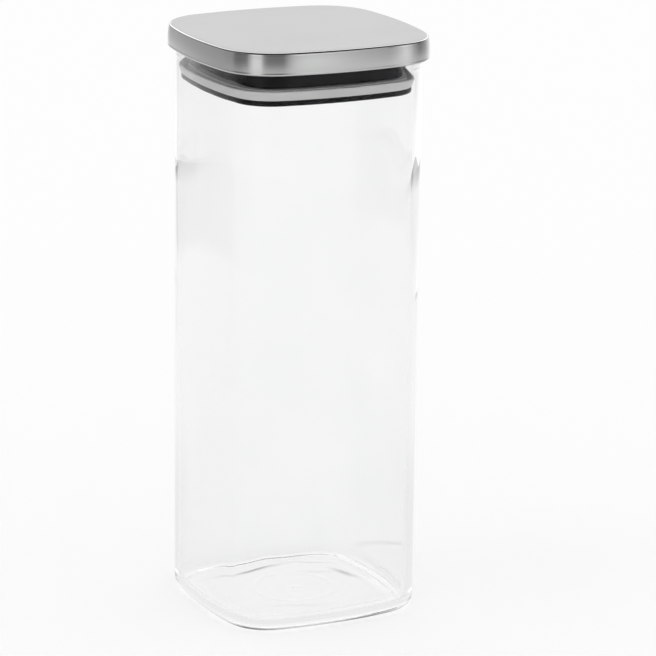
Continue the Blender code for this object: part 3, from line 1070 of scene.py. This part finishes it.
def studio_wall(room):
    """A round wall, seen only in reflections, that fades out towards its top."""
    steps = WALL_STEPS
    angle = 2 * math.pi * np.arange(steps) / steps
    ring = np.stack([WALL_RADIUS * np.cos(angle), WALL_RADIUS * np.sin(angle)], 1)
    verts = np.concatenate([
        np.column_stack([ring, np.full(steps, z)]) for z in (0.0, WALL_HEIGHT)
    ])
    i = np.arange(steps)
    j = (i + 1) % steps
    faces = np.stack([i, i + steps, j + steps, j], 1)
    mesh = bpy.data.meshes.new("wall")
    mesh.from_pydata(verts.tolist(), [], faces.tolist())
    made = bpy.data.materials.new("room wall")
    made.use_nodes = True
    tree = made.node_tree
    tree.nodes.clear()
    place = tree.nodes.new("ShaderNodeTexCoord").outputs["Object"]
    around = use_group(tree, room, Vector=place)
    split = add(tree, "ShaderNodeSeparateXYZ", [(0, place)])
    low = add(tree, "ShaderNodeMapRange", [
        ("Value", split.outputs["Z"]),
        ("From Min", 0.0),
        ("From Max", WALL_FOOT),
        ("To Min", WALL_FOOT_TONE),
        ("To Max", 0.0),
    ], interpolation_type="SMOOTHSTEP")
    room_tone, edge_tone = around.outputs["Room"], around.outputs["Edge"]
    glow = add(tree, "ShaderNodeEmission", [
        ("Color", mixed(tree, low.outputs["Result"], room_tone, edge_tone)),
        ("Strength", ROOM_STRENGTH),
    ])
    clear = tree.nodes.new("ShaderNodeBsdfTransparent")
    fade = add(tree, "ShaderNodeMapRange", [
        ("Value", split.outputs["Z"]),
        ("From Min", WALL_FADE),
        ("From Max", WALL_HEIGHT),
        ("To Min", 1.0),
        ("To Max", 0.0),
    ], interpolation_type="SMOOTHSTEP")
    shown = add(tree, "ShaderNodeMath", [
        (0, reflected(tree)), (1, fade.outputs["Result"]),
    ], operation="MULTIPLY")
    mix = add(tree, "ShaderNodeMixShader", [
        ("Fac", shown.outputs[0]), (1, clear.outputs["BSDF"]), (2, glow.outputs["Emission"]),
    ])
    add(tree, "ShaderNodeOutputMaterial", [("Surface", mix.outputs["Shader"])])
    mesh.materials.append(made)
    wall = stand("wall", mesh)
    wall.visible_camera = False
    wall.visible_diffuse = False
    wall.visible_shadow = False
    wall.visible_volume_scatter = False


def studio_sky():
    """Light from the world: even and pale, but reflections see a leaning bright ceiling.

    On the near side the ceiling gives way, low down, to a paler band.
    """
    world = bpy.data.worlds.new("studio")
    bpy.context.scene.world = world
    world.use_nodes = True
    tree = world.node_tree
    tree.nodes.clear()
    direction = tree.nodes.new("ShaderNodeTexCoord").outputs["Generated"]
    lean = add(tree, "ShaderNodeVectorMath", [
        (0, direction), (1, aimed(CEILING_BEARING, CEILING_LIFT)),
    ], operation="DOT_PRODUCT")
    tone = ramp(tree, lean.outputs["Value"], CEILING_TONES, -1.0, 1.0)
    split = add(tree, "ShaderNodeSeparateXYZ", [(0, direction)])
    low = add(tree, "ShaderNodeMapRange", [
        ("Value", split.outputs["Z"]),
        ("From Min", LOW_SKY_END),
        ("From Max", LOW_SKY_END + LOW_SKY_FADE),
        ("To Min", 1.0),
        ("To Max", 0.0),
    ], interpolation_type="SMOOTHSTEP")
    ahead = add(tree, "ShaderNodeVectorMath", [
        (0, direction), (1, aimed(CEILING_BEARING, 0.0)),
    ], operation="DOT_PRODUCT")
    near = add(tree, "ShaderNodeMapRange", [
        ("Value", ahead.outputs["Value"]),
        ("From Min", -NEAR_FADE),
        ("From Max", NEAR_FADE),
        ("To Min", 1.0),
        ("To Max", 0.0),
    ], interpolation_type="SMOOTHSTEP")
    shown = add(tree, "ShaderNodeMath", [
        (0, low.outputs["Result"]), (1, near.outputs["Result"]),
    ], operation="MULTIPLY")
    joined = mixed(tree, shown.outputs[0], tone, grey(LOW_SKY_TONE))
    ceiling = add(tree, "ShaderNodeBackground", [("Color", joined)])
    haze = ramp(tree, split.outputs["Z"], SKY_TONES, -1.0, 1.0)
    plain = add(tree, "ShaderNodeBackground", [("Color", haze)])
    mix = add(tree, "ShaderNodeMixShader", [
        ("Fac", reflected(tree)),
        (1, plain.outputs["Background"]),
        (2, ceiling.outputs["Background"]),
    ])
    add(tree, "ShaderNodeOutputWorld", [("Surface", mix.outputs["Shader"])])


def key_light():
    """A wide soft lamp, far away and high, for the faint shadow."""
    lamp = bpy.data.lights.new("key", "SUN")
    lamp.angle = math.radians(KEY_WIDTH)
    lamp.energy = KEY_POWER
    key = stand("key", lamp)
    towards = aimed(KEY_BEARING, KEY_LIFT)
    key.rotation_euler = towards.to_track_quat("Z", "Y").to_euler()
    key.visible_glossy = False


def camera():
    """Long lens from the front, a little to the left, looking down a little."""
    bearing, turn = math.radians(CAMERA_BEARING), math.radians(CAMERA_TURN)
    down, roll = math.radians(CAMERA_DOWN), math.radians(CAMERA_ROLL)
    forward = Vector((
        -math.sin(turn) * math.cos(down), math.cos(turn) * math.cos(down), -math.sin(down)
    ))
    level = Vector((math.cos(turn), math.sin(turn), 0))
    raised = level.cross(forward)
    right = level * math.cos(roll) + raised * math.sin(roll)
    up = raised * math.cos(roll) - level * math.sin(roll)
    data = bpy.data.cameras.new("camera")
    data.lens = CAMERA_LENS
    data.sensor_width = CAMERA_SENSOR
    data.clip_end = CAMERA_REACH
    seat = stand("camera", data)
    basis = Matrix((right, up, -forward)).transposed().to_4x4()
    place = Vector((
        CAMERA_AWAY * math.sin(bearing), -CAMERA_AWAY * math.cos(bearing), CAMERA_HEIGHT
    ))
    seat.matrix_world = Matrix.Translation(place) @ basis
    bpy.context.scene.camera = seat


jar()
cap()
BLACK = core()
seal()
smooth_copy("clamp_plate", "retainer_plate", BLACK)
plugs()
finish_hidden_nodes()
ROOM = room_around()
studio_floor(ROOM)
studio_wall(ROOM)
studio_sky()
key_light()
camera()
view = bpy.context.scene.view_settings
view.view_transform = "Standard"
